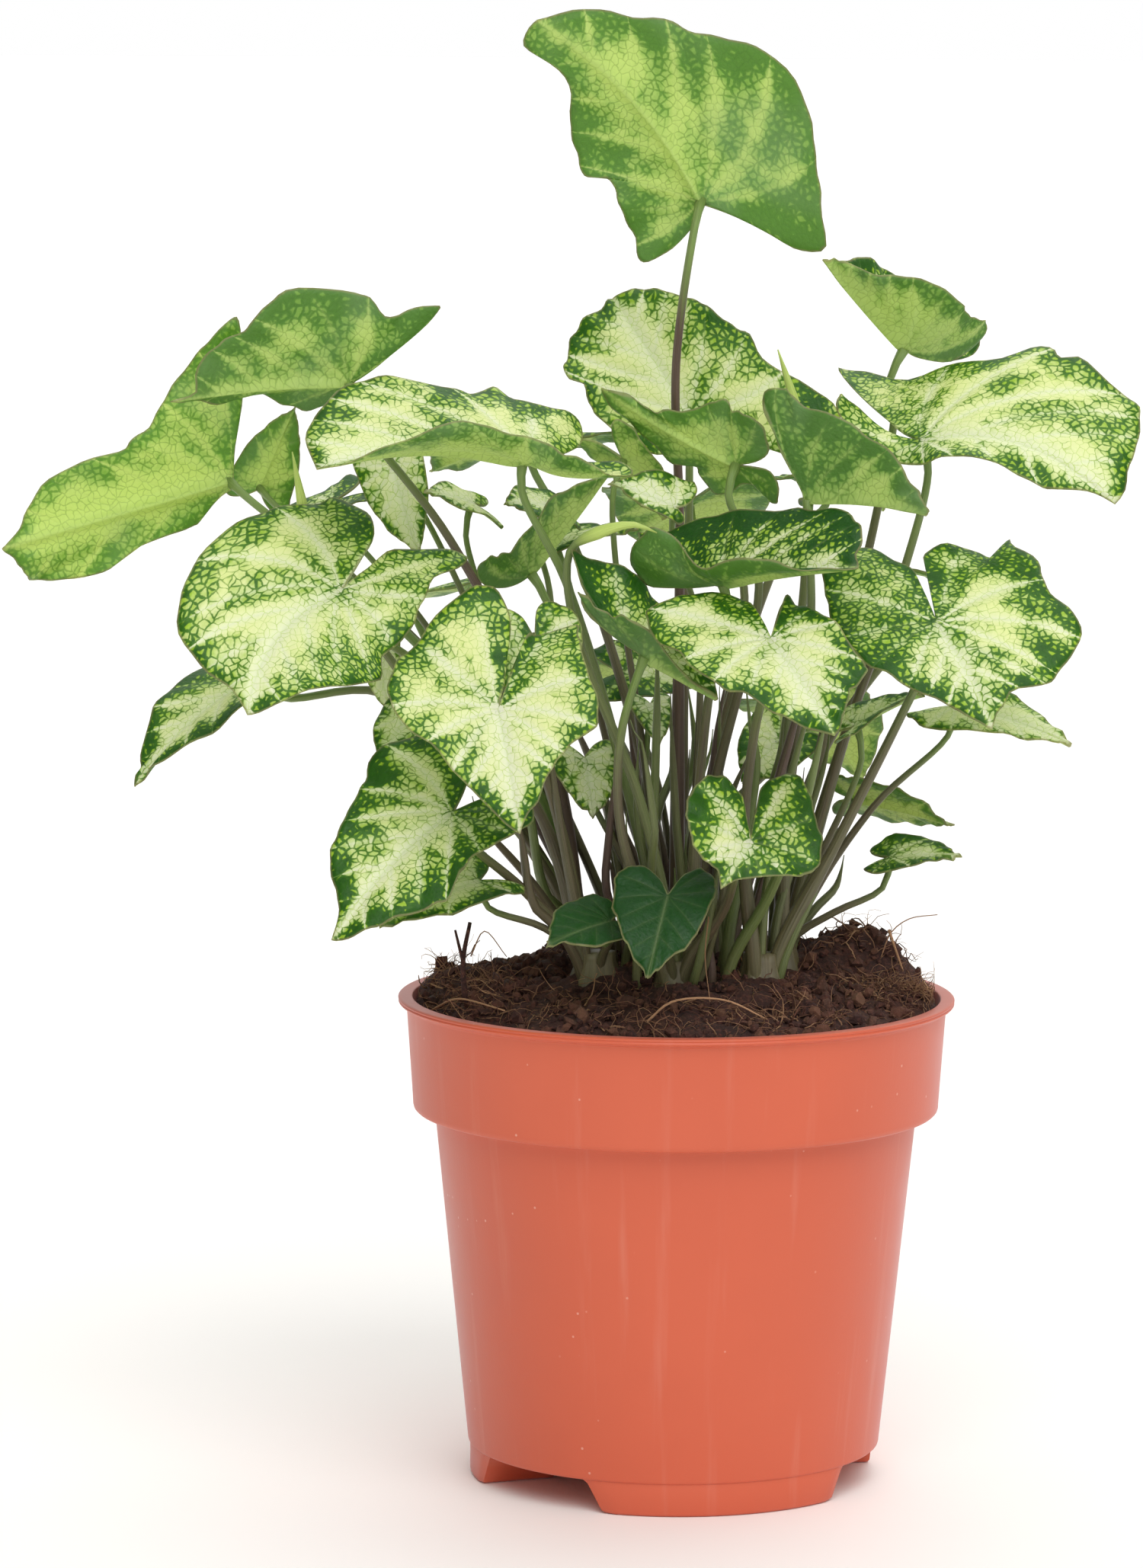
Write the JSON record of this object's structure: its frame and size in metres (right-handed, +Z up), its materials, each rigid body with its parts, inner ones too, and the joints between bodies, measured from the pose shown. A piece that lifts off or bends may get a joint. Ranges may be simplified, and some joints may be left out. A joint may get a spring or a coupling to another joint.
{
  "type": "potted arrowhead plant",
  "caption": "Bushy arrowhead plant (Syngonium) with cream-netted heart and arrow shaped leaves on long stalks, growing in soil in a terracotta-coloured plastic nursery pot on low feet.",
  "frame": {"origin": "on the standing surface, under the middle of the plant's bounding box", "axes": "+Z up; the side with the lower front leaves faces -Y; the pot's axis is upright, a little off the origin toward +X and -Y"},
  "size_m": [0.2434, 0.1586, 0.3151],
  "materials": {
    "pot": "satin terracotta-coloured polypropylene",
    "soil": "crumbly dark potting mix with coir fibre",
    "stalk": "smooth fleshy stalk, brown low down and green at the blade",
    "leaf": "satin leaf, cream veins with a green net"
  },
  "bodies": {
    "root": {"pot": "pot", "soil": "soil", "stem_left_front": "stalk", "stem_left_back": "stalk", "stem_centre_front": "stalk", "stem_centre": "stalk", "stem_right_front": "stalk", "stem_right_back": "stalk", "stem_back": "stalk", "leaf_01": "leaf", "leaf_02": "leaf", "leaf_03": "leaf", "leaf_04": "leaf", "leaf_05": "leaf", "leaf_06": "leaf", "leaf_07": "leaf", "leaf_08": "leaf", "leaf_09": "leaf", "leaf_10": "leaf", "leaf_11": "leaf", "leaf_12": "leaf", "leaf_13": "leaf", "leaf_14": "leaf", "leaf_15": "leaf", "leaf_16": "leaf", "leaf_17": "leaf", "leaf_18": "leaf", "leaf_19": "leaf", "leaf_20": "leaf", "leaf_21": "leaf", "leaf_22": "leaf", "leaf_23": "leaf", "leaf_24": "leaf", "leaf_25": "leaf", "leaf_26": "leaf", "leaf_27": "leaf", "leaf_28": "leaf", "leaf_29": "leaf", "leaf_30": "leaf", "leaf_31": "leaf", "leaf_32": "leaf", "leaf_33": "leaf", "leaf_34": "leaf", "leaf_35": "leaf", "leaf_36": "leaf", "leaf_37": "leaf", "leaf_38": "leaf", "leaf_39": "leaf", "leaf_40": "leaf", "leaf_41": "leaf", "leaf_42": "leaf", "leaf_43": "leaf", "leaf_44": "leaf", "leaf_45": "leaf", "leaf_46": "leaf", "leaf_47": "leaf", "leaf_48": "leaf"}
  },
  "joints": []
}
